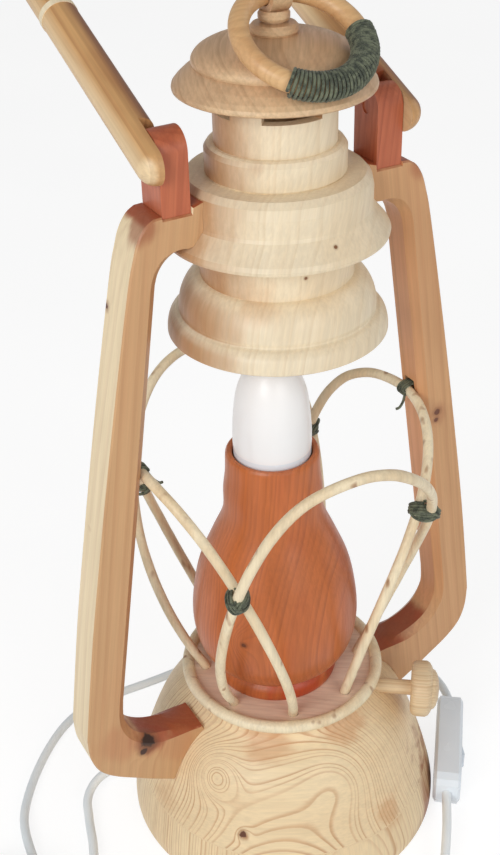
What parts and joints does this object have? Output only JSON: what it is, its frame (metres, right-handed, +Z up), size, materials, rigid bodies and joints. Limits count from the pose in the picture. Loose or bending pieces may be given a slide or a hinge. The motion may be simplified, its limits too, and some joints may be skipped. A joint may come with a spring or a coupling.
{
  "type": "table lamp",
  "caption": "Wooden table lamp shaped like a hurricane lantern, with a candle bulb in a vase-shaped column, a turned hood, a twig guard, a hanging hoop and a folding bail.",
  "frame": {"origin": "centre of the base's flat underside, on the table", "axes": "+Z up, -Y to the front, +X to the lamp's right arm as seen from the front"},
  "size_m": [0.3635, 0.3136, 0.4669],
  "materials": {
    "light_pine": "light pine with orange-brown growth rings, satin oil",
    "deck_wood": "pinkish-brown wood, satin",
    "twig_wood": "peeled pale twig, satin",
    "twine": "waxed grey-green twine",
    "steel": "plain",
    "red_cherry": "red-orange wood with dark growth rings, oiled",
    "white_plastic": "glossy white",
    "brass": "plain",
    "frosted_glass": "frosted white",
    "tan_wood": "tan wood, cream edges, satin",
    "red_wood": "red-brown wood, satin",
    "cream_wood": "pale cream turned wood, satin",
    "hoop_wood": "orange-tan stick, satin",
    "bail_wood": "cream and tan stick with dark brown streaks, satin",
    "white_cord": "white sheathed cord"
  },
  "bodies": {
    "lamp": {"base": "light_pine", "base_plate": "light_pine", "base_screws": "steel", "deck_plate": "deck_wood", "gallery_ring": "twig_wood", "guard_arch_front": "twig_wood", "guard_arch_back": "twig_wood", "guard_arch_left": "twig_wood", "guard_arch_right": "twig_wood", "crossing_ties": "twine", "arm_tie_left": "twine", "arm_tie_right": "twine", "tie_pins": "steel", "chimney_vase": "red_cherry", "threaded_tube": "steel", "tube_nuts": "steel", "tube_washer": "steel", "holder_sleeve": "white_plastic", "holder_core": "white_plastic", "screw_shell": "brass", "centre_contact": "brass", "bulb_cap": "brass", "bulb_housing": "white_plastic", "bulb_globe": "frosted_glass", "left_arm": "tan_wood", "right_arm": "tan_wood", "arm_dowels": "light_pine", "left_ear": "red_wood", "right_ear": "red_wood", "ear_dowels": "light_pine", "hood_bell": "cream_wood", "hood_flange": "cream_wood", "hood_ring": "cream_wood", "hood_neck": "cream_wood", "cap_brim": "cream_wood", "cap_dome": "cream_wood", "finial": "cream_wood", "cord_relief": "white_cord", "inner_lead": "white_cord", "cord_lead": "white_cord", "cord_tail": "white_cord", "cord_coil": "white_cord", "coil_tie": "white_cord", "switch_front": "white_plastic", "switch_back": "white_plastic", "switch_screws": "steel", "plug_body": "white_plastic", "plug_pins": "steel"},
    "bail": {"bail_left_stick": "bail_wood", "bail_right_stick": "bail_wood", "bail_joint_rings": "bail_wood", "bail_bow": "bail_wood", "bail_pegs": "red_wood"},
    "hoop": {"hoop_ring": "hoop_wood", "hoop_underwrap": "twine", "hoop_wrap": "twine"},
    "knob": {"knob": "light_pine"},
    "switch_rocker": {"switch_rocker": "white_plastic"}
  },
  "joints": [
    {"name": "bail_pivot", "type": "hinge", "parent": "lamp", "child": "bail", "pos_m": [0, 0, 0.3845], "axis": [1, 0, 0], "range_deg": [-18, 152]},
    {"name": "hoop_swing", "type": "hinge", "parent": "lamp", "child": "hoop", "pos_m": [0, 0, 0.4381], "axis": [-1, 0, 0], "range_deg": [0, 242]},
    {"name": "knob_turn", "type": "hinge", "parent": "lamp", "child": "knob", "pos_m": [0.04792, -0.03611, 0.0765], "axis": [0.7986, -0.6018, 0], "continuous": true},
    {"name": "rocker_tilt", "type": "hinge", "parent": "lamp", "child": "switch_rocker", "pos_m": [0.08936, -0.04047, 0.011], "axis": [0, 0, -1], "range_deg": [0, 12]}
  ]
}
